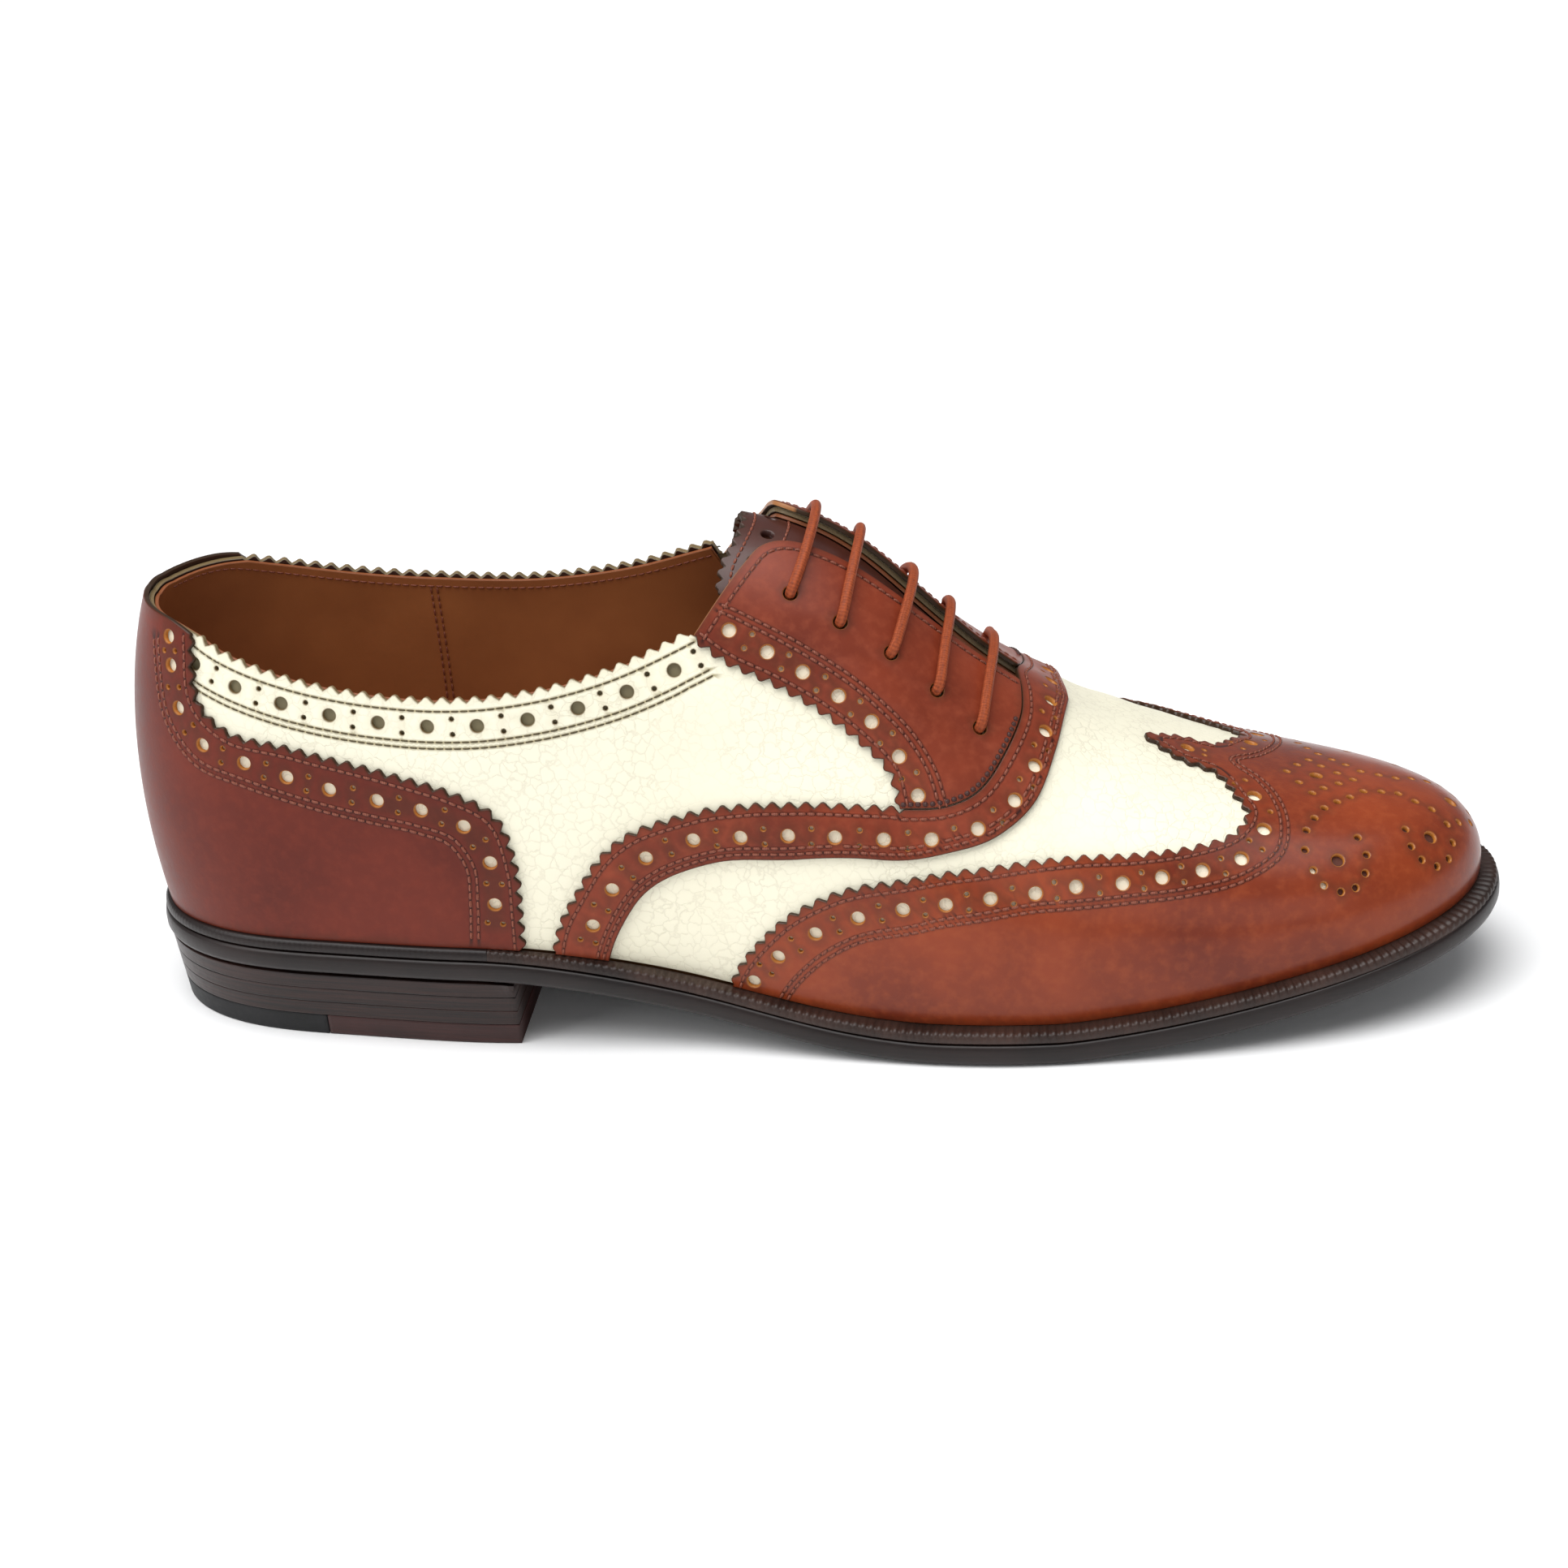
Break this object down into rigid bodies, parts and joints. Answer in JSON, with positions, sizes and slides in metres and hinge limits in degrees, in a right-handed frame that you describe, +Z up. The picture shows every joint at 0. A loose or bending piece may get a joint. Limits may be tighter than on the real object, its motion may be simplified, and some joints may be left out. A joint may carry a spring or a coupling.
{
  "type": "wingtip brogue oxford shoe",
  "caption": "Right two-tone wingtip brogue with a brown toe wing, strap, facings and counter over a pale grained upper, laced over a welted leather sole with a stacked heel.",
  "frame": {"origin": "on the floor under the middle of the heel's top lift", "axes": "+X to the toe, +Y to the inner (medial) side, +Z up"},
  "size_m": [0.2947, 0.1031, 0.1056],
  "materials": {
    "cream_leather": "pebble-grained, soft sheen",
    "brown_leather": "smooth polished calf",
    "toe_leather": "smooth calf, polished brighter at the toe",
    "sole_leather": "dark waxed edge",
    "welt_leather": "dark waxed, wheeled notches",
    "heel_leather": "dark waxed stack",
    "heel_rubber": "matte",
    "top_lift": "waxed",
    "insole_leather": "plain vegetable tan",
    "lace": "round waxed cotton"
  },
  "bodies": {
    "root": {"outsole": "sole_leather", "heel_rand": "welt_leather", "welt": "welt_leather", "heel_lift_1": "heel_leather", "heel_lift_2": "heel_leather", "heel_lift_3": "heel_leather", "top_lift_rubber": "heel_rubber", "top_lift_leather": "top_lift", "insole": "insole_leather", "upper": "cream_leather", "counter": "brown_leather", "vamp_strap": "brown_leather", "toe_wing": "toe_leather", "facing_lateral": "brown_leather", "facing_medial": "brown_leather", "tongue": "brown_leather", "lace_bar_1": "lace", "lace_bar_2": "lace", "lace_bar_3": "lace", "lace_bar_4": "lace", "lace_bar_5": "lace"}
  },
  "joints": []
}
